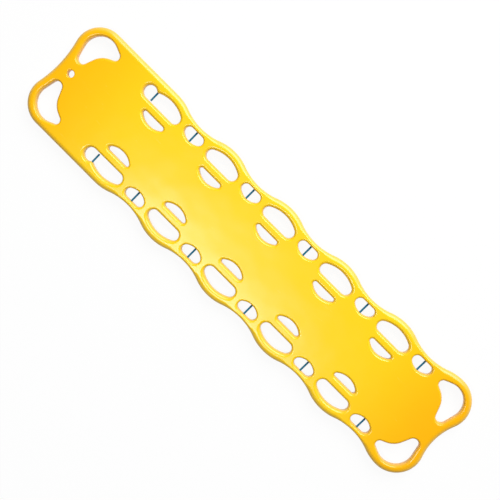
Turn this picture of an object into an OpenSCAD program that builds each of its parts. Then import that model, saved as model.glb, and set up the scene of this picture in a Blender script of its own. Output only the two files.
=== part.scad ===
/* [Board] */
// Length of the board from the head end to the foot end
board_l = 1829; // [1500:1:2200]
// Width of the board across its widest points
board_w = 412; // [370:1:500]
// Thickness of the board above its runners
slab_t = 32; // [28:1:45]
// Wall thickness on the flat faces and round the holes
wall = 4; // [3:0.5:5]
// Wall thickness at the outer edge
edge_wall = 6.5; // [5:0.5:7]
// Radius of the rounded outer edge
edge_r = 11; // [8:0.5:11.5]

/* [Outline] */
// Distance from the head end to the middle of the first hand hole
head_l = 377; // [350:1:400]
// Radius of the two corners at the head end
head_corner_r = 92; // [86:1:100]
// Radius of the two corners at the foot end
foot_corner_r = 97; // [90:1:105]
// Depth of the hollow in the middle of the head end
head_dip = 13; // [8:1:20]
// Depth of the hollow in the middle of the foot end
foot_dip = 20; // [12:1:26]
// Depth of each waist along the sides
wave_d = 25; // [15:1:28]
// Share of each half wave that the bulge takes from the waist
bulge_share = 0.445; // [0.4:0.005:0.55]

/* [Holes] */
// Radius of the rounded upper edges of the holes
hole_edge_r = 4.5; // [3:0.5:5]
// Width of the outer rail at the hand holes and round the corner holes
rail_w = 30; // [26:1:34]
// Width of the outer rail at the waists beside the pin holes
pin_rail_w = 17.5; // [16.5:0.5:24]
// Width of the webs between the hand holes and the pin holes
web_w = 27.5; // [22:0.5:34]
// Depth of the hand holes across the board
hand_hole_d = 55; // [48:1:62]
// Radius of the two corners of a hand hole
hand_corner_r = 21.5; // [16:0.5:23]
// Length of a pin hole along the board
pin_hole_l = 80; // [70:1:96]
// Depth of the pin holes across the board
pin_hole_d = 43.5; // [40:0.5:50]
// Radius of the two corners of a pin hole
pin_corner_r = 18; // [12:0.5:19]
// Width of the strip between the hand holes and the inner slots
strip_w = 28; // [24:0.5:34]
// Length of an inner slot
slot_l = 94; // [80:1:112]
// Depth of the inner slots across the board
slot_d = 31.5; // [26:0.5:38]
// Radius of the two outer corners of an inner slot
slot_corner_r = 9; // [7:0.5:12]
// Radius of the lobe at the head end of the first hand hole
lobe_r = 25; // [22:0.5:27]
// Distance that the lobe stands past the head end of the hand hole
lobe_reach = 6; // [4:0.5:8]
// Radius of the nose between that lobe and the first hand hole
nose_r = 8; // [6:0.5:10]
// Diameter of the hanging hole
hang_d = 25; // [12:1:30]
// Distance of the hanging hole from the middle of the head end
hang_inset = 54; // [40:1:70]

/* [Strap pins] */
// Diameter of a strap pin
pin_d = 6.5; // [5:0.5:10]
// Length of each pin end inside the board
pin_seat = 10; // [8:0.5:12]
// Gap round the pin ends and round the foam core
fit_gap = 0.2; // [0.1:0.05:0.4]

/* [Runners] */
// Height of the two runners under the board
runner_h = 13; // [8:1:20]
// Width of a runner
runner_w = 19; // [16:1:22]
// Radius of the rounded lower edge of a runner
runner_edge_r = 5; // [2:0.5:7]
// Distance of the runner ends from the ends of the board
runner_inset = 150; // [135:1:250]

/* [Hidden] */
$fn = 64;

// The board lies along X with its head end at -X, and the patient lies on its +Z face, so +Y is
// the patient's left. Stations count the hand holes from the head, and a waist lies half way
// between two of them. The last waist is followed by the bulge of the foot corners.
half_w = board_w / 2;
station_count = 5;
pitch = (board_l - head_l - foot_corner_r) / station_count;
function station(k) = head_l - board_l / 2 + k * pitch;

// Chords of the flat parts keep this close to their arcs
chord_gap = 0.3;
// A rounded edge is cut in flats, and the first and last run this far past the faces they join
edge_past = 1;
edge_flats = 4;
hole_edge_flats = 2;

// A loop is a belt round pegs [x, y, r], run counterclockwise. A peg with r below 0 stands
// outside the loop and presses the belt inwards.
function peg_at(pegs, i) = pegs[(i + len(pegs)) % len(pegs)];
// Direction of the outward normal where the belt runs straight from peg a to peg b
function join_angle(a, b) =
  let (d = b - a, run = norm([d.x, d.y]))
  atan2(d.y, d.x) - acos(max(-1, min(1, (a.z - b.z) / run)));
function turn(from, to) = let (t = (to - from) % 360) t < 0 ? t + 360 : t;
// Each arc of a belt as [x, y, r, first normal, sweep]
function arcs(pegs) = [for (i = [0 : len(pegs) - 1])
  let (p = pegs[i],
    first = join_angle(peg_at(pegs, i - 1), p),
    last = join_angle(p, peg_at(pegs, i + 1)))
  [p.x, p.y, p.z, first, p.z > 0 ? turn(first, last) : -turn(last, first)]];
function arc_point(a, grow, share) =
  let (n = a[3] + share * a[4])
  [a.x + (a.z + grow) * cos(n), a.y + (a.z + grow) * sin(n)];
function arc_steps(a) = max(1, ceil(abs(a[4]) / (2 * acos(1 - chord_gap / (abs(a.z) + 1)))));
// Points of a belt, grown outwards. The last point of an arc that runs into the next is left out.
function belt_points(pegs, grow) =
  let (list = arcs(pegs))
  [for (k = [0 : len(list) - 1])
    let (a = list[k], n = arc_steps(a),
      gap = norm(arc_point(peg_at(list, k + 1), 0, 0) - arc_point(a, 0, 1)))
    for (i = [0 : gap > 0.01 ? n : n - 1]) arc_point(a, grow, i / n)];
// The same loop on the patient's right side, and the same loop at the other end
function right_side(pegs) = [for (i = [len(pegs) - 1 : -1 : 0]) [pegs[i].x, -pegs[i].y, pegs[i].z]];
function other_end(pegs) = [for (i = [len(pegs) - 1 : -1 : 0]) [-pegs[i].x, pegs[i].y, pegs[i].z]];

// The sides are a wave of arcs that meet tangentially, between two round corners at each end
slope = 2 * atan(2 * wave_d / pitch);
wave_r = pitch / 2 / sin(slope);
bulge_r = wave_r * bulge_share;
waist_r = wave_r - bulge_r;
function bulge(k) = [station(k), half_w - bulge_r, bulge_r];
function waist(k) = [station(k), half_w - wave_d + waist_r, -waist_r];
head_corner = [head_corner_r - board_l / 2, half_w - head_corner_r, head_corner_r];
foot_corner = [station(station_count), half_w - foot_corner_r, foot_corner_r];
// Radius of the hollow of depth dip that runs into a corner peg on each side
function dip_r(peg, dip) = (peg.y * peg.y + pow(peg.z - dip, 2) - peg.z * peg.z) / (2 * dip);
head_dip_r = dip_r(head_corner, head_dip);
foot_dip_r = dip_r(foot_corner, foot_dip);
head_edge = head_dip - board_l / 2;
foot_edge = board_l / 2 - foot_dip;
left_side = concat(
  [foot_corner, bulge(station_count)],
  [for (k = [station_count - 1 : -1 : 0]) each [waist(k + 0.5), bulge(k)]],
  [head_corner]);
outline = concat(
  [[foot_edge + foot_dip_r, 0, -foot_dip_r]], left_side,
  [[head_edge - head_dip_r, 0, -head_dip_r]], right_side(left_side));

// Hole of length l and depth d with a straight edge at y0 and a bowed edge on the other side,
// towards +Y for side = 1 and towards -Y for side = -1
function bow_hole(x, y0, side, l, d, r) =
  let (a = l / 2 - r, b = d - r, bow_r = (a * a + b * b - r * r) / (2 * (b - r)),
    first = [x - side * a, y0 + side * r, r],
    last = [x + side * a, y0 + side * r, r])
  [first, last, [x, y0 + side * (d - bow_r), bow_r]];
hand_y = half_w - rail_w - hand_hole_d;
hand_hole_l = pitch - pin_hole_l - 2 * web_w;
pin_y = half_w - wave_d - pin_rail_w;
slot_y = hand_y - strip_w;
function hand_hole(k) = bow_hole(station(k), hand_y, 1, hand_hole_l, hand_hole_d, hand_corner_r);
function pin_hole(k) = bow_hole(station(k), pin_y, -1, pin_hole_l, pin_hole_d, pin_corner_r);
function slot(k) = bow_hole(station(k), slot_y, -1, slot_l, slot_d, slot_corner_r);

// Peg of radius r that touches pegs a and b from outside, on the left of the way from b to a
function nose_peg(a, b, r) =
  let (d = b - a, run = norm([d.x, d.y]), ra = a.z + r, rb = b.z + r,
    s = (run * run + ra * ra - rb * rb) / (2 * run), h = sqrt(ra * ra - s * s))
  [a.x + (d.x * s - d.y * h) / run, a.y + (d.y * s + d.x * h) / run, -r];
first_hand = hand_hole(0);
// The lobe's inner edge lies this much further out than the straight edge of the hand hole
lobe_lift = 0.5;
lobe = [station(0) - hand_hole_l / 2 - lobe_reach, hand_y + lobe_r + lobe_lift, lobe_r];
nose = nose_peg(lobe, first_hand[2], nose_r);
lobed_hand_hole = [lobe, first_hand[1], first_hand[2], nose];

// Kidney-shaped hole that follows the head corner. Its pegs, from the middle of that corner, are
// the one inside the corner, the tail towards the middle of the board, the one that presses the
// waist inwards, and the tail along the side.
kidney_pegs = [[2, 0, head_corner_r - rail_w + 2], [-32, -48, 20], [66, -53, -73], [43, 34.5, 16]];
kidney = [for (p = kidney_pegs) [head_corner.x + p.x, head_corner.y + p.y, p.z]];

left_holes = concat(
  [lobed_hand_hole],
  [for (k = [1 : station_count - 1]) hand_hole(k)],
  [for (k = [0 : station_count - 1]) pin_hole(k + 0.5)],
  [for (k = [0 : station_count - 1]) slot(k)],
  [kidney, other_end(kidney)]);
holes = concat(left_holes, [for (h = left_holes) right_side(h)]);
hang_x = head_edge + hang_inset;

// Each left pin as [x, y of the hole's inner edge, y of its outer edge], from head to foot
pins = concat(
  [[nose.x, lobe.y - lobe.z, nose.y + nose.z]],
  [for (k = [0 : station_count - 1]) [station(k + 0.5), pin_y - pin_hole_d, pin_y]]);
pin_z = runner_h + slab_t / 2;
runner_y = hand_y - strip_w / 2;
runner_l = board_l - 2 * runner_inset;

// Section of what a rounded edge loses, as [distance in from the wall, depth below the face]. Its
// flats run on past both faces, and the last point closes it outside the board.
function lost_section(r, flats) =
  let (step = 90 / flats,
    arc = [for (i = [0 : flats]) [r - r * sin(i * step), r - r * cos(i * step)]],
    past = edge_past / norm(arc[1] - arc[0]))
  concat([arc[0] + past * (arc[0] - arc[1])],
    [for (i = [1 : flats - 1]) arc[i]],
    [arc[flats] + past * (arc[flats] - arc[flats - 1]), [-edge_past, -edge_past]]);

// Closed tube that a section sweeps along a belt. The section turns about the wall with side, and
// about the face with up.
module edge_tube(pegs, section, side, up) {
  rings = [for (s = section) belt_points(pegs, side * s[0])];
  n = len(rings[0]);
  m = len(section);
  flip = side * up > 0;
  polyhedron(
    points = [for (i = [0 : m - 1]) for (p = rings[i]) [p.x, p.y, -up * section[i][1]]],
    faces = [for (i = [0 : m - 1]) for (j = [0 : n - 1])
      let (next = (i + 1) % m, k = (j + 1) % n,
        quad = [i * n + j, i * n + k, next * n + k, next * n + j])
      flip ? quad : [quad[3], quad[2], quad[1], quad[0]]]);
}

module plan_holes(grow) {
  for (h = holes)
    polygon(belt_points(h, grow));
  translate([hang_x, 0])
    circle(d = hang_d + 2 * grow);
}

// Right half of a runner's section
module runner_half_section() {
  translate([runner_w / 2 - runner_edge_r, runner_edge_r])
    circle(r = runner_edge_r);
  translate([0, runner_edge_r])
    square([runner_w / 2, runner_h - runner_edge_r + wall / 2]);
  square([runner_w / 2 - runner_edge_r, runner_h]);
}

module runner() {
  translate([-runner_l / 2 + runner_w / 2, 0])
    rotate([90, 0, 90])
      linear_extrude(runner_l - runner_w) {
        runner_half_section();
        mirror([1, 0])
          runner_half_section();
      }
  for (side = [-1, 1])
    translate([side * (runner_l / 2 - runner_w / 2), 0])
      rotate([0, 0, side * 90 - 180])
        rotate_extrude(angle = 180)
          intersection() {
            runner_half_section();
            square([runner_w, runner_h + wall]);
          }
}

// Hollow of the moulding, or the foam that fills it with a gap all round
module filling(gap) {
  translate([0, 0, runner_h + wall + gap])
    linear_extrude(slab_t - 2 * wall - 2 * gap)
      difference() {
        polygon(belt_points(outline, -edge_wall - gap));
        plan_holes(wall + gap);
      }
  groove = runner_w - 2 * wall - 2 * gap;
  for (side = [-1, 1])
    translate([-runner_l / 2 + runner_w / 2, side * runner_y - groove / 2, wall + gap])
      cube([runner_l - runner_w, groove, runner_h + wall]);
}

module pin_at(p, side, d, seat) {
  translate([p[0], side * (p[1] - seat), pin_z])
    rotate([-90 * side, 0, 0])
      cylinder(d = d, h = p[2] - p[1] + 2 * seat);
}

module pin_bores() {
  for (p = pins, side = [-1, 1])
    pin_at(p, side, pin_d + 2 * fit_gap, pin_seat + fit_gap);
}

module board_shell() {
  color("gold")
    difference() {
      union() {
        translate([0, 0, runner_h])
          linear_extrude(slab_t)
            polygon(belt_points(outline, 0));
        for (side = [-1, 1])
          translate([0, side * runner_y, 0])
            runner();
      }
      translate([0, 0, runner_h - 1])
        linear_extrude(slab_t + 2)
          plan_holes(0);
      translate([0, 0, runner_h + slab_t])
        edge_tube(outline, lost_section(edge_r, edge_flats), -1, 1);
      translate([0, 0, runner_h])
        edge_tube(outline, lost_section(edge_r, edge_flats), -1, -1);
      for (h = holes)
        translate([0, 0, runner_h + slab_t])
          edge_tube(h, lost_section(hole_edge_r, hole_edge_flats), 1, 1);
      filling(0);
      pin_bores();
    }
}

module foam_core() {
  color("lemonchiffon")
    difference() {
      filling(fit_gap);
      pin_bores();
    }
}

module strap_pin(i, side) {
  color("steelblue")
    pin_at(pins[i], side, pin_d, pin_seat);
}

board_shell();
foam_core();
for (i = [0 : len(pins) - 1]) {
  strap_pin(i, 1);
  strap_pin(i, -1);
}
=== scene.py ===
# %% [markdown]
# # A spine board with its strap pins
# This lesson builds the looks of a long yellow rescue board. The board is one hollow plastic
# moulding with wavy sides, rounded edges, and rows of holes for hands, straps and pins. A CAD
# model of it is loaded first, and the finished pieces take the places of its plain ones.

# %% Load the measured model
import math
import bmesh
import bpy
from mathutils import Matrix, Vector


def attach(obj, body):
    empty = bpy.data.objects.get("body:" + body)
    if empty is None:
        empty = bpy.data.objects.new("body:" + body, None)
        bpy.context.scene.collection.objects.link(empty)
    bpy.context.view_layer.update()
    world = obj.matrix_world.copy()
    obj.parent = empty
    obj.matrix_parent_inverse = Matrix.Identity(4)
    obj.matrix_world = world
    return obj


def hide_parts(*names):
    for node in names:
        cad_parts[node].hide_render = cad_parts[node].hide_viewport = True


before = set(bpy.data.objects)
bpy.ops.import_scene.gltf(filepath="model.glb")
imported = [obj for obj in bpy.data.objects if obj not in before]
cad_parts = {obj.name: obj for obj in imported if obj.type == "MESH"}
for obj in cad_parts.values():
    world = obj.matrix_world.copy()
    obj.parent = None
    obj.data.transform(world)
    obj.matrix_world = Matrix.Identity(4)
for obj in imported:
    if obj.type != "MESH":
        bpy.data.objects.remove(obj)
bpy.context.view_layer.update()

# %% [markdown]
# The photographer stood almost straight above the board, a little towards its left side, and
# turned the camera so that the board runs from corner to corner. A camera could be given three
# rotation angles, but aiming it at a point and then rolling it is easier to read and to change.
# The camera comes first, so that each piece can be judged in the right view as it is made.

# %% Camera above the board
MM = 0.001
image_px = 500
sensor_mm = 36
focal_px = 1038.9
sight_m = 200
camera_place = Vector((37.8, 469.2, 3511.2)) * MM
camera_aim = Vector((2.0, 9.2, 45)) * MM
image_up = Vector((-0.70806, 0.70093, -0.08571))

bpy.ops.object.select_all(action="DESELECT")
bpy.ops.object.camera_add(location=camera_place)
camera = bpy.context.object
camera.name = "camera_above"
camera.data.sensor_width = sensor_mm
camera.data.lens = focal_px / image_px * sensor_mm
camera.data.clip_end = sight_m
view_back = (camera_place - camera_aim).normalized()
view_right = image_up.cross(view_back).normalized()
view_up = view_back.cross(view_right)
for row in range(3):
    camera.matrix_world[row][0:3] = (view_right[row], view_up[row], view_back[row])
bpy.context.scene.camera = camera
print("lens:", round(camera.data.lens, 1), "mm, distance:",
      round((camera_place - camera_aim).length, 2), "m")

# %% [markdown]
# Every rounded loop on the board, the outline as well as each hole, is drawn as a belt round pegs.
# A peg is a circle, x, y and radius in millimetres. A negative radius presses the belt inwards,
# which makes the waists of the sides. One drawing rule for all loops keeps their curves smooth
# where they meet, and a belt can be grown or shrunk evenly, which is what a rounded edge needs.

# %% Belts round pegs
step_mm, widest_turn, finest_turn = 4.0, math.radians(7), 0.02
touching_mm = 0.01


def join_angle(a, b):
    """Direction of the outward normal where the belt runs straight from peg a to peg b."""
    run = math.hypot(b[0] - a[0], b[1] - a[1])
    lean = math.acos(max(-1, min(1, (a[2] - b[2]) / run)))
    return math.atan2(b[1] - a[1], b[0] - a[0]) - lean


def belt_arcs(pegs):
    """Each arc of a belt as x, y, radius, first normal and sweep."""
    arcs = []
    for i, (x, y, r) in enumerate(pegs):
        first = join_angle(pegs[i - 1], pegs[i])
        last = join_angle(pegs[i], pegs[(i + 1) % len(pegs)])
        sweep = (last - first) % math.tau if r > 0 else -((first - last) % math.tau)
        arcs.append((x, y, r, first, sweep))
    return arcs


def belt_points(pegs):
    """Points along the belt as x, y and the outward normal."""
    points = []
    arcs = belt_arcs(pegs)
    for i, (x, y, r, first, sweep) in enumerate(arcs):
        turn = min(widest_turn, max(step_mm / abs(r), finest_turn))
        steps = max(2, math.ceil(abs(sweep) / turn))
        nx, ny, nr, nfirst, _ = arcs[(i + 1) % len(arcs)]
        straight = math.hypot(x + r * math.cos(first + sweep) - nx - nr * math.cos(nfirst),
                              y + r * math.sin(first + sweep) - ny - nr * math.sin(nfirst))
        for s in range(steps + (1 if straight > touching_mm else 0)):
            n = first + sweep * s / steps
            points.append((x + r * math.cos(n), y + r * math.sin(n), math.cos(n), math.sin(n)))
    return points


print("a belt round two pegs:", len(belt_points([(-50, 0, 20), (50, 0, 20)])), "points")

# %% [markdown]
# These are the sizes of the CAD model, in millimetres. The head end is at -X and the foot end at
# +X, and +Y is the patient's left. Hand holes, pin holes and slots repeat at one pitch along both
# sides. The pitch follows from four numbers: the length of the board, the length of the head, the
# radius of the foot's corners and the count of stations.

# %% Sizes of the board
board_l, board_w, slab_t, runner_h = 1829, 412, 32, 13
top_z, under_z = runner_h + slab_t, runner_h
head_l, head_corner_r, foot_corner_r = 377, 92, 97
head_dip, foot_dip, wave_d, bulge_share = 13, 20, 25, 0.445
rail_w, pin_rail_w, web_w, strip_w = 30, 17.5, 27.5, 28
hand_hole_d, hand_corner_r = 55, 21.5
pin_hole_l, pin_hole_d, pin_corner_r = 80, 43.5, 18
slot_l, slot_d, slot_corner_r = 94, 31.5, 9
lobe_r, lobe_reach, lobe_lift, nose_r = 25, 6, 0.5, 8
hang_d, hang_inset = 25, 54
pin_d, pin_seat = 6.5, 10
runner_w, runner_edge_r, runner_inset = 19, 5, 150
stations = 5
half_w = board_w / 2
pitch = (board_l - head_l - foot_corner_r) / stations


def station(k):
    """Place along the board of hand hole k, counted from the head. Halves lie between two."""
    return head_l - board_l / 2 + k * pitch


print("pitch of the holes:", pitch, "mm, first hand hole at x =", station(0), "mm")

# %% [markdown]
# The side of the board is a wave: it bulges out at each hand hole, where a bearer's hand closes
# round the rail, and draws in at each pin hole. A wave could be drawn as a sine curve, but arcs
# that meet tangentially are what a toolmaker cuts, and they are what the belt gives.

# %% The outline as a belt
slope = 2 * math.atan(2 * wave_d / pitch)
wave_r = pitch / 2 / math.sin(slope)
bulge_r = wave_r * bulge_share
waist_r = wave_r - bulge_r
head_corner = (head_corner_r - board_l / 2, half_w - head_corner_r, head_corner_r)
foot_corner = (station(stations), half_w - foot_corner_r, foot_corner_r)


def bulge(k):
    """Peg that pushes the side out at hand hole k."""
    return (station(k), half_w - bulge_r, bulge_r)


def waist(k):
    """Peg that draws the side in at station k, which is a half."""
    return (station(k), half_w - wave_d + waist_r, -waist_r)


def dip_r(peg, dip):
    """Radius of a hollow of that depth between two corner pegs."""
    return (peg[1] ** 2 + (peg[2] - dip) ** 2 - peg[2] ** 2) / (2 * dip)


def right_side(pegs):
    """The same loop on the patient's right."""
    return [(x, -y, r) for x, y, r in reversed(pegs)]


head_edge = head_dip - board_l / 2
foot_edge = board_l / 2 - foot_dip
left_side = [foot_corner, bulge(stations)]
for k in reversed(range(stations)):
    left_side += [waist(k + 0.5), bulge(k)]
left_side.append(head_corner)
foot_dip_r, head_dip_r = dip_r(foot_corner, foot_dip), dip_r(head_corner, head_dip)
outline = ([(foot_edge + foot_dip_r, 0, -foot_dip_r)] + left_side
           + [(head_edge - head_dip_r, 0, -head_dip_r)] + right_side(left_side))
print("outline:", len(outline), "arcs and", len(belt_points(outline)), "points")

# %% [markdown]
# A hand hole has a straight inner edge and a bowed outer one that follows the rail. The pin holes
# and the inner slots are the same shape turned round, so one function draws all three. The first
# hand hole grows a round lobe towards the head for the first pin. The four corner holes are
# kidneys that follow the corners, so their pegs are given from the middle of the corner's arc.
# A round hole is a belt round two pegs that all but coincide.

# %% The holes as belts
def bow_hole(y0, side, length, depth, r):
    """Hole with a straight edge at y0, bowed towards +Y for side 1 and towards -Y for side -1."""
    a, b = length / 2 - r, depth - r
    bow_r = (a * a + b * b - r * r) / (2 * (b - r))
    return [(-side * a, y0 + side * r, r), (side * a, y0 + side * r, r),
            (0, y0 + side * (depth - bow_r), bow_r)]


def nose_peg(a, b, r):
    """Peg that touches pegs a and b from outside, so that the belt is drawn in between them."""
    dx, dy = b[0] - a[0], b[1] - a[1]
    run, ra, rb = math.hypot(dx, dy), a[2] + r, b[2] + r
    s = (run * run + ra * ra - rb * rb) / (2 * run)
    h = math.sqrt(ra * ra - s * s)
    return (a[0] + (dx * s - dy * h) / run, a[1] + (dy * s + dx * h) / run, -r)


hand_y = half_w - rail_w - hand_hole_d
hand_hole_l = pitch - pin_hole_l - 2 * web_w
pin_y = half_w - wave_d - pin_rail_w
slot_y = hand_y - strip_w
hand_hole = bow_hole(hand_y, 1, hand_hole_l, hand_hole_d, hand_corner_r)
pin_hole = bow_hole(pin_y, -1, pin_hole_l, pin_hole_d, pin_corner_r)
slot = bow_hole(slot_y, -1, slot_l, slot_d, slot_corner_r)
lobe = (-hand_hole_l / 2 - lobe_reach, hand_y + lobe_r + lobe_lift, lobe_r)
nose = nose_peg(lobe, hand_hole[2], nose_r)
lobed_hole = [lobe, hand_hole[1], hand_hole[2], nose]
kidney_r = head_corner_r - rail_w + 2
kidney_pegs = [(2, 0, kidney_r), (-32, -48, 20), (66, -53, -73), (43, 34.5, 16)]
kidney = [(head_corner[0] + x, head_corner[1] + y, r) for x, y, r in kidney_pegs]
peg_shift = 0.001
hang_hole = [(-peg_shift, 0, hang_d / 2), (peg_shift, 0, hang_d / 2)]
print("hand hole:", hand_hole_l, "by", hand_hole_d, "mm, outer arc of a corner hole:",
      kidney_r, "mm")

# %% [markdown]
# ## The moulding
# The real board is blown from one tube of plastic, so every edge is round and there is no joint.
# It could be cut from a slab with Boolean modifiers and then bevelled, but a bevel tears where it
# meets dozens of holes in one face. Instead each loop gets its own band, a ring of points that is
# extruded again and again along the section of the edge. The flat faces are filled in afterwards,
# between the bands. A band is modelled once for each kind of hole, and copied to its places.

# %% Helpers for selecting and editing
near_mm = 0.001


def only(obj):
    """Makes obj the one selected and active object."""
    bpy.ops.object.select_all(action="DESELECT")
    obj.select_set(True)
    bpy.context.view_layer.objects.active = obj


def edit(obj):
    """Starts edit mode on obj with nothing selected, and returns its edit mesh."""
    only(obj)
    bpy.ops.object.mode_set(mode="EDIT")
    bpy.ops.mesh.select_all(action="DESELECT")
    return bmesh.from_edit_mesh(obj.data)


def select_open_edges(mesh, z):
    """Selects the open edges of an edit mesh at height z, and returns how many they are."""
    for edge in mesh.edges:
        edge.select = edge.is_boundary and all(abs(v.co.z / MM - z) < near_mm
                                               for v in edge.verts)
    return sum(e.select for e in mesh.edges)


def turn_outwards(obj):
    """Makes all faces of a closed mesh point outwards."""
    edit(obj)
    bpy.ops.mesh.select_all(action="SELECT")
    bpy.ops.mesh.normals_make_consistent(inside=False)
    bpy.ops.object.mode_set(mode="OBJECT")


print("helpers:", [f.__name__ for f in (only, edit, select_open_edges, turn_outwards)])

# %% [markdown]
# A band starts as a plain circle of points, which are moved onto the belt. Each row of the
# section then extrudes the ring once and moves the new ring to its own inset and height. A
# rounded edge is a quarter of an ellipse, so it can be wide and shallow or narrow and deep.

# %% A band that follows a belt
def band(name, pegs, section, side=1, ease=lambda x, y: 1):
    """Band of quads along a belt. Each row of section is a lean, a rounding and a height. The
    belt draws in by their sum, or spreads for side -1, and ease says how much of the rounding
    each place gets."""
    belt = belt_points(pegs)
    bpy.ops.object.select_all(action="DESELECT")
    bpy.ops.mesh.primitive_circle_add(vertices=len(belt), radius=MM, fill_type="NOTHING")
    obj = bpy.context.object
    obj.name = name
    bpy.ops.object.mode_set(mode="EDIT")
    bpy.ops.mesh.select_mode(type="VERT")
    places = {}
    for lean, rounding, z in section:
        if places:
            bpy.ops.mesh.extrude_region_move()
        mesh = bmesh.from_edit_mesh(obj.data)
        mesh.verts.index_update()
        ring = sorted((v for v in mesh.verts if v.select), key=lambda v: v.index)
        if places:
            ring.sort(key=lambda v: places[tuple(v.co)])
        places = {}
        for i, (v, (x, y, nx, ny)) in enumerate(zip(ring, belt)):
            inset = side * (lean + rounding * ease(x, y))
            v.co = ((x - inset * nx) * MM, (y - inset * ny) * MM, z * MM)
            places[tuple(v.co)] = i
        bmesh.update_edit_mesh(obj.data)
    bpy.ops.object.mode_set(mode="OBJECT")
    return obj


def quarter(r_out, r_up, steps=8):
    """Points of a rounded edge: how far in from the rim, and how far down from the face."""
    angles = [math.pi / 2 * i / steps for i in range(steps + 1)]
    return [(r_out * (1 - math.sin(a)), r_up * (1 - math.cos(a))) for a in angles]


print("a rounded edge of 8 by 12 mm:", [(round(x, 1), round(z, 1)) for x, z in quarter(8, 12, 4)])

# %% [markdown]
# The rim of the board is nearly a full half round, because bearers grip it with bare hands. The
# holes have a narrow, deep round on top and a small one below, where the runners pass close by,
# and their walls stand out a little between the two, where the mould pinched the plastic. Half
# way down, where the two halves of the mould met, a thin parting line is left, and the walls lean
# a little away from it so that the moulding could leave the mould.

# %% Sections of the edges
mid_z = (top_z + under_z) / 2
seam_half, seam_high, mould_lean, flat_rim = 0.9, 0.3, 0.35, 0.4


def edge_section(top_round, top_up, under_round, under_up, lip=0):
    """Section of an edge from the top face to the underside, as (lean, rounding, z). The lip is
    how far the wall stands out between its two rounds."""
    wall, seam = mould_lean - lip, seam_high - lip
    rows = [(wall, top_round + lip + flat_rim, top_z)]
    rows += [(wall, x, top_z - z) for x, z in quarter(top_round + lip, top_up)]
    rows += [(seam, 0, mid_z + seam_half), (-lip, 0, mid_z + seam_half / 3),
             (-lip, 0, mid_z - seam_half / 3), (seam, 0, mid_z - seam_half)]
    rows += [(wall, x, under_z + z) for x, z in reversed(quarter(under_round + lip, under_up))]
    rows += [(wall, under_round + lip + flat_rim, under_z)]
    return rows


hole_under = {"under_round": 2.2, "under_up": 2.6}
rim_section = edge_section(top_round=18, top_up=13.5, under_round=14, under_up=13)
hole_section = edge_section(top_round=8, top_up=12, lip=1.2, **hole_under)
corner_hole_section = edge_section(top_round=7.4, top_up=12, lip=1, **hole_under)
pin_hole_section = edge_section(top_round=6.5, top_up=10, lip=1, **hole_under)
hanging_hole_section = edge_section(top_round=4, top_up=4, under_round=2.5, under_up=2.5)
print("points in the rim's section:", len(rim_section))

# %% [markdown]
# The rounding is not the same everywhere. At each waist a pin hole leaves only a narrow rail, so
# the rim gets half of its rounding there. A hand hole is rounded more on the side of the rail,
# where the fingers close round it. Two small functions say how much each place gets.

# %% More and less rounding
waist_share, waist_flat, waist_run = 0.5, 30, 50
grip_gain, grip_from, grip_run = 0.175, 12, 30


def smooth(share):
    """Soft step from 0 to 1."""
    share = max(0, min(1, share))
    return share * share * (3 - 2 * share)


def rim_ease(x, y):
    """Share of the rim's rounding, least at the waists."""
    off = min(abs(x - station(k + 0.5)) for k in range(stations))
    return waist_share + (1 - waist_share) * smooth((off - waist_flat) / waist_run)


def grip_ease(x, y):
    """Share of a hand hole's rounding, most at the rail."""
    return 1 + grip_gain * smooth((y - hand_y - grip_from) / grip_run)


print("rim at a waist:", rim_ease(station(0.5), 0), "and at a bulge:", rim_ease(station(1), 0))

# %% [markdown]
# The rim is one band round the whole board. Of the holes, each kind is drawn once: those that
# repeat along the sides at x = 0, and the corner hole at the head, on the patient's left.

# %% The rim and one band for each kind of hole
rim = band("board_moulding", outline, rim_section, ease=rim_ease)
bands = {
    "hand": band("band_hand_hole", hand_hole, hole_section, -1, grip_ease),
    "lobed": band("band_lobed_hole", lobed_hole, hole_section, -1, grip_ease),
    "pin": band("band_pin_hole", pin_hole, pin_hole_section, -1),
    "slot": band("band_slot", slot, hole_section, -1),
    "corner": band("band_corner_hole", kidney, corner_hole_section, -1),
    "hang": band("band_hanging_hole", hang_hole, hanging_hole_section, -1),
}
print("points:", {kind: len(b.data.vertices) for kind, b in bands.items()})

# %% [markdown]
# A runner is a long rounded bar under each row of slots. It is drawn as one more belt, with a
# section that comes down from the underside through a small fillet, turns round the lower edge
# and ends at the sole, which is filled by one face and inset to keep its edge crisp.

# %% The runners
runner_y = hand_y - strip_w / 2
runner_end = board_l / 2 - runner_inset - runner_w / 2
runner_loop = [(-runner_end, 0, runner_w / 2), (runner_end, 0, runner_w / 2)]
fillet = [(-0.5, 0), (-0.2, 0.1), (-0.05, 0.4), (0, 1.5)]
sole_rim, sole_inset = 0.8, 2
runner_section = [(lean, 0, under_z - drop) for lean, drop in fillet]
runner_section += [(0, x, z) for x, z in reversed(quarter(runner_edge_r, runner_edge_r, 6))]
runner_section += [(0, runner_edge_r + sole_rim, 0)]
bands["runner"] = band("band_runner", runner_loop, runner_section)
select_open_edges(edit(bands["runner"]), 0)
bpy.ops.mesh.edge_face_add()
bpy.ops.mesh.inset(thickness=sole_inset * MM)
bpy.ops.object.mode_set(mode="OBJECT")
print("runner soles at y =", runner_y, "mm on both sides")

# %% [markdown]
# The copies for the patient's right are mirrored, and those for the foot end are mirrored the
# other way. A mirrored copy is inside out, which is put right once all faces are together.

# %% Copies at every station, joined to the rim
def place_copy(source, x=0, y=0, flip_x=1, flip_y=1):
    """Copy of source with its own mesh, moved and mirrored in its vertices."""
    only(source)
    bpy.ops.object.duplicate(linked=False)
    copy = bpy.context.object
    bpy.ops.transform.resize(value=(flip_x, flip_y, 1), center_override=(0, 0, 0))
    bpy.ops.transform.translate(value=(x * MM, y * MM, 0))
    bpy.ops.object.transform_apply(location=True, rotation=True, scale=True)
    return copy


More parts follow.
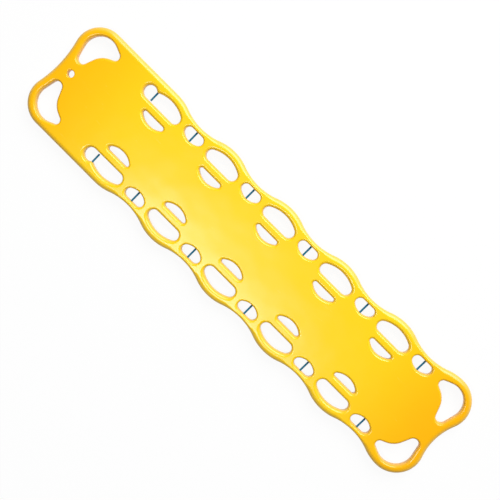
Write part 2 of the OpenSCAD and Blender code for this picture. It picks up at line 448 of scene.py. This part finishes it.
parts = []
for side in (1, -1):
    parts.append(place_copy(bands["lobed"], station(0), flip_y=side))
    for k in range(1, stations):
        parts.append(place_copy(bands["hand"], station(k), flip_y=side))
    for k in range(stations):
        parts.append(place_copy(bands["pin"], station(k + 0.5), flip_y=side))
        parts.append(place_copy(bands["slot"], station(k), flip_y=side))
    for end in (1, -1):
        parts.append(place_copy(bands["corner"], flip_x=end, flip_y=side))
    parts.append(place_copy(bands["runner"], y=side * runner_y))
parts.append(place_copy(bands["hang"], head_edge + hang_inset))
for source in bands.values():
    bpy.data.objects.remove(source)
rim_points = len(rim.data.vertices)
only(rim)
for part in parts:
    part.select_set(True)
bpy.ops.object.join()
print("bands joined:", len(parts) + 1, "of them the rim with", rim_points, "points")

# %% [markdown]
# Now the bands are rings with nothing between them. The open edges at the height of the top face
# bound one large face full of holes, and so do those of the underside. The fill operator finds
# that face by itself. Then all faces are turned outwards, and the mesh is tested: a moulding that
# is closed has no open edge left.

# %% Flat faces between the bands
round_angle = 40
for z in (top_z, under_z):
    mesh = edit(rim)
    bpy.ops.mesh.select_mode(type="EDGE")
    print("edges round the face at", z, "mm:", select_open_edges(mesh, z))
    bpy.ops.mesh.fill(use_beauty=True)
    bpy.ops.object.mode_set(mode="OBJECT")
turn_outwards(rim)
mesh = edit(rim)
print("open edges left:", sum(e.is_boundary or not e.is_manifold for e in mesh.edges),
      "volume in litres:", round(mesh.calc_volume() * 1000, 2), "faces:", len(mesh.faces))
bpy.ops.object.mode_set(mode="OBJECT")
only(rim)
bpy.ops.object.shade_smooth_by_angle(angle=math.radians(round_angle))
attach(rim, "root")
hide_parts("board_shell")

# %% [markdown]
# ## The strap pins
# A strap's hook snaps round a pin that crosses the hole from rim to board. Each is a nylon rod
# whose ends sit in the moulding. A cylinder gives the rod, its ends get a small bevel, and two
# fine ridges along it show where the halves of its own mould met. It is modelled once.

# %% One strap pin
pin_z = under_z + slab_t / 2
pin_len = pin_hole_d + 2 * pin_seat
pin_facets, pin_bevel, bevel_steps = 48, 0.6, 3
ridge_foot, ridge_high = 0.1, 0.12
along_y, across_y = 0.9, 0.1
bpy.ops.object.select_all(action="DESELECT")
bpy.ops.mesh.primitive_cylinder_add(vertices=pin_facets, radius=pin_d / 2 * MM,
                                    depth=pin_len * MM, rotation=(math.pi / 2, 0, 0))
first_pin = bpy.context.object
bpy.ops.object.transform_apply(location=True, rotation=True, scale=True)
mesh = edit(first_pin)
bpy.ops.mesh.select_mode(type="FACE")
for face in mesh.faces:
    face.select = abs(face.normal.y) > along_y
bpy.ops.mesh.bevel(offset=pin_bevel * MM, segments=bevel_steps)
bpy.ops.mesh.select_all(action="DESELECT")
mesh = bmesh.from_edit_mesh(first_pin.data)
for face in mesh.faces:
    face.select = abs(face.normal.y) < across_y and abs(face.normal.z) < across_y
print("faces that become ridges:", sum(face.select for face in mesh.faces))
bpy.ops.mesh.inset(thickness=ridge_foot * MM)
bpy.ops.transform.shrink_fatten(value=ridge_high * MM)
bpy.ops.object.mode_set(mode="OBJECT")

# %% [markdown]
# Every pin hole gets a pin as it was modelled. The pins in the two lobes are shortened between
# their ends, which keep their bevels. These two have a fault that was found too late to mend:
# they are placed from the far side of the nose peg, come out about 15 mm short, and their inner
# ends stop before the wall.

# %% A pin in each pin hole and in the two lobes
pins = [(nose[0] + station(0), lobe[1] - lobe[2], nose[1] - nose[2])]
pins += [(station(k + 0.5), pin_y - pin_hole_d, pin_y) for k in range(stations)]
pin_angle = 35
pin_pieces = []
for i, (x, inner, outer) in enumerate(pins):
    for side, word in ((1, "left"), (-1, "right")):
        copy = place_copy(first_pin, x, side * (inner + outer) / 2, flip_y=side)
        short = (pin_hole_d - (outer - inner)) / 2 * MM
        middle = side * (inner + outer) / 2 * MM
        for v in copy.data.vertices:
            v.co.z += pin_z * MM
            v.co.y -= math.copysign(short, v.co.y - middle)
        turn_outwards(copy)
        only(copy)
        bpy.ops.object.shade_smooth_by_angle(angle=math.radians(pin_angle))
        copy.name = f"pin_{word}_{i + 1}"
        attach(copy, "root")
        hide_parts(f"strap_pin_{word}_{i + 1}")
        pin_pieces.append(copy)
bpy.data.objects.remove(first_pin)
print("pins:", len(pin_pieces), "of which those in pin holes are", pin_len, "mm long")

# %% [markdown]
# ## Finishes
# A finish is a tree of shader nodes. A few small functions keep the trees readable: one makes a
# node and connects it, and two name the kinds that are used again and again.

# %% Helpers for node trees
def node(tree, kind, links=(), **settings):
    """New node with settings, and links given as (input, output socket or value)."""
    made = tree.nodes.new(kind)
    for key, value in settings.items():
        setattr(made, key, value)
    for socket, value in links:
        if isinstance(value, bpy.types.NodeSocket):
            tree.links.new(value, made.inputs[socket])
        else:
            made.inputs[socket].default_value = value
    return made


def maths(tree, operation, *values):
    """Result of a Math node. Values come as sockets or as numbers."""
    return node(tree, "ShaderNodeMath", enumerate(values), operation=operation).outputs[0]


def ramp(tree, value, start=0, end=1, low=0, high=1, **settings):
    """Result of a Map Range node, which turns start to end into low to high."""
    return node(tree, "ShaderNodeMapRange",
                [("Value", value), ("From Min", start), ("From Max", end), ("To Min", low),
                 ("To Max", high)], **settings).outputs["Result"]


print("helpers:", [f.__name__ for f in (node, maths, ramp)])

# %% [markdown]
# Blown plastic has a fine skin like orange peel, a slight unevenness that bends reflections, and
# short scuffs where it has slid over floors. A shader node group makes this skin from places on
# the object, so that the same group serves the board and the pins at different sizes.

# %% A node group for a moulded skin
def group(name, inputs, outputs):
    """New shader node group. inputs lists (name, type, default), outputs lists (name, type)."""
    tree = bpy.data.node_groups.new(name, "ShaderNodeTree")
    for label, kind, default in inputs:
        socket = tree.interface.new_socket(label, in_out="INPUT", socket_type=kind)
        if default is not None:
            socket.default_value = default
    for label, kind in outputs:
        tree.interface.new_socket(label, in_out="OUTPUT", socket_type=kind)
    return tree, tree.nodes.new("NodeGroupInput"), tree.nodes.new("NodeGroupOutput")


scuff_stretch = (0.35, 2.2, 1.0)
peel_height = 0.02
skin, skin_in, skin_out = group(
    "moulded_skin",
    [("Vector", "NodeSocketVector", None), ("Peel Scale", "NodeSocketFloat", 700.0),
     ("Wave Scale", "NodeSocketFloat", 9.0), ("Scuff Scale", "NodeSocketFloat", 30.0)],
    [("Height", "NodeSocketFloat"), ("Scuffs", "NodeSocketFloat"), ("Cloud", "NodeSocketFloat")])
peel = node(skin, "ShaderNodeTexNoise", [("Vector", skin_in.outputs["Vector"]),
            ("Scale", skin_in.outputs["Peel Scale"]), ("Detail", 2.0), ("Roughness", 0.5)])
wave = node(skin, "ShaderNodeTexNoise", [("Vector", skin_in.outputs["Vector"]),
            ("Scale", skin_in.outputs["Wave Scale"]), ("Detail", 1.0)])
stretch = node(skin, "ShaderNodeVectorMath", [(0, skin_in.outputs["Vector"]),
               (1, scuff_stretch)], operation="MULTIPLY")
scuff = node(skin, "ShaderNodeTexNoise", [("Vector", stretch.outputs[0]),
             ("Scale", skin_in.outputs["Scuff Scale"]), ("Detail", 9.0), ("Roughness", 0.72)])
scuff_mask = ramp(skin, scuff.outputs["Fac"], start=0.6, end=0.74)
peel_part = maths(skin, "MULTIPLY", peel.outputs["Fac"], peel_height)
height = maths(skin, "ADD", wave.outputs["Fac"], peel_part)
skin.links.new(height, skin_out.inputs["Height"])
skin.links.new(scuff_mask, skin_out.inputs["Scuffs"])
skin.links.new(wave.outputs["Fac"], skin_out.inputs["Cloud"])
print("group:", skin.name, [s.name for s in skin.interface.items_tree])

# %% [markdown]
# The rounded edges get a darker, less saturated ochre in the base colour, which is painted shade
# on the roundings and a painted pale cast of their highlights, and they are duller as well. A
# shader can't tell an edge from a flat by itself, so the mesh gets an attribute that says it: 0 on
# the flats, 1 on the rim, and a share of that in the holes, where the painted shading is weaker.

# %% The edge attribute of the moulding
hole_share = 0.6
edge_depth = 4
edge_mark = rim.data.attributes.new("edge", "FLOAT", "POINT")
edge_mark.data.foreach_set("value", [
    smooth(min(top_z - v.co.z / MM, v.co.z / MM - under_z) / edge_depth)
    * (1 if v.index < rim_points else hole_share) for v in rim.data.vertices])
print("points on rounded edges:", sum(mark.value > 0 for mark in edge_mark.data),
      "of", len(edge_mark.data))

# %% [markdown]
# Every finish starts from the same few nodes: an output, a Principled shader, and places on the
# object. More small functions make them, mix two colours, and bend the surface by a height.

# %% Helpers for materials
def mix(tree, factor, a, b):
    """Result of a Mix node, by the numbers of its colour sockets. Colours come as sockets or as
    tuples."""
    return node(tree, "ShaderNodeMix", [(0, factor), (6, a), (7, b)],
                data_type="RGBA").outputs[2]


def new_material(name):
    """Empty node material with its output, Principled shader and Object coordinates."""
    material = bpy.data.materials.new(name)
    material.use_nodes = True
    tree = material.node_tree
    tree.nodes.clear()
    out = node(tree, "ShaderNodeOutputMaterial")
    shader = node(tree, "ShaderNodeBsdfPrincipled")
    tree.links.new(shader.outputs["BSDF"], out.inputs["Surface"])
    place = node(tree, "ShaderNodeTexCoord").outputs["Object"]
    return material, tree, shader, place


def add_bump(tree, shader, height, strength, distance):
    """Bends the shader's normal by a height. The distance is in metres."""
    bump = node(tree, "ShaderNodeBump", [("Height", height), ("Strength", strength),
                ("Distance", distance)])
    tree.links.new(bump.outputs["Normal"], shader.inputs["Normal"])


def put_on(obj, material):
    """Makes material the only one of obj."""
    obj.data.materials.clear()
    obj.data.materials.append(material)
    print(material.name, "on", obj.name)


print("helpers:", [f.__name__ for f in (mix, new_material, add_bump, put_on)])

# %% [markdown]
# The yellow is warm and deep at both ends, most of all at the foot, and paler over the middle.
# Faint clouds break it up, and the edge attribute, broken up by scuffs, brings in the painted
# shading of the rounded edges, a darker ochre, and makes them duller.

# %% The yellow plastic
head_yellow = (0.98, 0.49, 0.001, 1)
foot_yellow = (0.98, 0.455, 0.001, 1)
middle_yellow = (0.98, 0.645, 0.006, 1)
cloud_yellow = (0.98, 0.58, 0.002, 1)
# The ochre is painted shading for the rounded edges: darker for their shade, greyer for the pale
# cast of their highlights.
painted_edge_shading = (0.84, 0.53, 0.1, 1)
edge_dullness = 0.16
yellow, tree, shader, place = new_material("yellow_polyethylene")
apart = node(tree, "ShaderNodeSeparateXYZ", [(0, place)])
along = maths(tree, "ABSOLUTE", apart.outputs["X"])
to_end = ramp(tree, along, start=0.5, end=0.92, interpolation_type="SMOOTHSTEP")
to_foot = ramp(tree, apart.outputs["X"], start=-0.4, end=0.4)
end_yellow = mix(tree, to_foot, head_yellow, foot_yellow)
base = mix(tree, to_end, middle_yellow, end_yellow)
surface = node(tree, "ShaderNodeGroup", [("Vector", place)], node_tree=skin)
cloudy = ramp(tree, surface.outputs["Cloud"], high=0.35)
base = mix(tree, cloudy, base, cloud_yellow)
edge = node(tree, "ShaderNodeAttribute", attribute_name="edge").outputs["Fac"]
# Painted shading on the rounded edges, where the edge attribute is, broken up a little by the
# scuffs.
painted_shading_share = maths(tree, "MULTIPLY", edge, ramp(tree, surface.outputs["Scuffs"], low=0.75))
base = mix(tree, painted_shading_share, base, painted_edge_shading)
tree.links.new(base, shader.inputs["Base Color"])
dull = ramp(tree, surface.outputs["Scuffs"], low=0.22, high=0.34)
dull = maths(tree, "MULTIPLY_ADD", edge, edge_dullness, dull)
tree.links.new(dull, shader.inputs["Roughness"])
add_bump(tree, shader, surface.outputs["Height"], strength=0.35, distance=0.004)
shader.inputs["IOR"].default_value = 1.5
put_on(rim, yellow)

# %% [markdown]
# The pins are harder than the board, and a deep blue that reflects little. Straps rub them, so
# the blue has paler, duller marks. The same skin is used, at a scale that suits a thin rod.

# %% The blue nylon
deep_blue = (0.002, 0.11, 0.21, 1)
light_blue = (0.004, 0.155, 0.28, 1)
rubbed_blue = (0.1, 0.28, 0.4, 1)
blue, tree, shader, place = new_material("blue_nylon")
surface = node(tree, "ShaderNodeGroup", [("Vector", place), ("Peel Scale", 2500),
               ("Wave Scale", 60), ("Scuff Scale", 120)], node_tree=skin)
rubbed = maths(tree, "MULTIPLY", surface.outputs["Scuffs"], 0.3)
shade = mix(tree, surface.outputs["Cloud"], deep_blue, light_blue)
tree.links.new(mix(tree, rubbed, shade, rubbed_blue), shader.inputs["Base Color"])
shader.inputs["Specular IOR Level"].default_value = 0.2
dull = ramp(tree, surface.outputs["Scuffs"], low=0.28, high=0.5)
tree.links.new(dull, shader.inputs["Roughness"])
add_bump(tree, shader, surface.outputs["Height"], strength=0.2, distance=0.0008)
for piece in pin_pieces:
    put_on(piece, blue)

# %% [markdown]
# Foam fills the moulding. It can't be seen in the finished board, but whoever cuts the model open
# finds pale cells rather than a blank solid, so it gets a finish as well.

# %% The foam inside
# The heart of each cell is a hollow in the bump, and its darker colour there is painted shade.
cell_wall, cell_hollow_shade = (0.95, 0.9, 0.72, 1), (0.82, 0.74, 0.5, 1)
foam, tree, shader, place = new_material("pale_foam")
cells = node(tree, "ShaderNodeTexVoronoi", [("Vector", place), ("Scale", 900.0)])
tone = mix(tree, cells.outputs["Distance"], cell_hollow_shade, cell_wall)
tree.links.new(tone, shader.inputs["Base Color"])
add_bump(tree, shader, cells.outputs["Distance"], strength=0.5, distance=0.0008)
shader.inputs["Roughness"].default_value = 0.9
put_on(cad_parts["foam_core"], foam)

# %% [markdown]
# ## The studio
# The board lies on a white sheet, which looks pure white to the camera and yet keeps a trace of
# the board's shadow. That is done by mixing plain paper with a glow that only the camera,
# reflections and clear pieces see.

# %% The white sheet
sheet_size = 80
camera_glow = 0.93
paper_low, paper_high = (0.86, 0.86, 0.87, 1), (0.88, 0.88, 0.88, 1)
bpy.ops.object.select_all(action="DESELECT")
bpy.ops.mesh.primitive_plane_add(size=sheet_size)
floor = bpy.context.object
floor.name = "white_sheet"
sheet, tree, shader, place = new_material("white_paper")
grain = node(tree, "ShaderNodeTexNoise", [("Vector", place), ("Scale", 300.0)])
tree.links.new(mix(tree, grain.outputs["Fac"], paper_low, paper_high),
               shader.inputs["Base Color"])
shader.inputs["Roughness"].default_value = 0.8
glow = node(tree, "ShaderNodeEmission", [("Strength", 1.0)])
rays = node(tree, "ShaderNodeLightPath")
seen = maths(tree, "MAXIMUM", rays.outputs["Is Camera Ray"], rays.outputs["Is Glossy Ray"])
seen = maths(tree, "MAXIMUM", seen, rays.outputs["Is Transmission Ray"])
share = maths(tree, "MULTIPLY", seen, camera_glow)
blend = node(tree, "ShaderNodeMixShader", [(0, share), (1, shader.outputs["BSDF"]),
             (2, glow.outputs["Emission"])])
out = next(n for n in tree.nodes if n.type == "OUTPUT_MATERIAL")
tree.links.new(blend.outputs[0], out.inputs["Surface"])
put_on(floor, sheet)

# %% [markdown]
# A dim white room fills in the shadows. The camera sees it as pure white, so that the sheet has
# no visible end.

# %% The white room
room_light, seen_light = 0.1, 1.0
white = (1, 1, 1, 1)
world = bpy.data.worlds.new("white_room")
bpy.context.scene.world = world
world.use_nodes = True
tree = world.node_tree
tree.nodes.clear()
rays = node(tree, "ShaderNodeLightPath")
room = node(tree, "ShaderNodeBackground", [("Color", white), ("Strength", room_light)])
view = node(tree, "ShaderNodeBackground", [("Color", white), ("Strength", seen_light)])
blend = node(tree, "ShaderNodeMixShader", [(0, rays.outputs["Is Camera Ray"]),
             (1, room.outputs[0]), (2, view.outputs[0])])
node(tree, "ShaderNodeOutputWorld", [("Surface", blend.outputs[0])])
print("room:", room_light, "for the board and", seen_light, "for the camera")

# %% [markdown]
# The light comes from a large soft box on the board's left, which makes that edge bright and the
# other one deep orange. A narrow strip of light high on the right draws the pale sheen along the
# middle of the board.

# %% Two soft boxes
light_aim = (0, 0, 0.03)


def soft_box(name, place, size_x, size_y, power):
    """Rectangular area light that faces the board."""
    bpy.ops.object.select_all(action="DESELECT")
    bpy.ops.object.light_add(type="AREA", location=place)
    lamp = bpy.context.object
    lamp.name = name
    facing = (Vector(light_aim) - Vector(place)).to_track_quat("-Z", "Y")
    lamp.rotation_euler = facing.to_euler()
    lamp.data.shape = "RECTANGLE"
    lamp.data.size, lamp.data.size_y = size_x, size_y
    lamp.data.energy = power
    print(name, "at", tuple(place), "with", power, "W")


soft_box("key_box", place=(-0.3, 4.7, 4.2), size_x=5, size_y=4, power=515)
soft_box("top_box", place=(-0.08, -0.95, 3.2), size_x=1.5, size_y=0.45, power=33)
bpy.context.scene.view_settings.view_transform = "Standard"
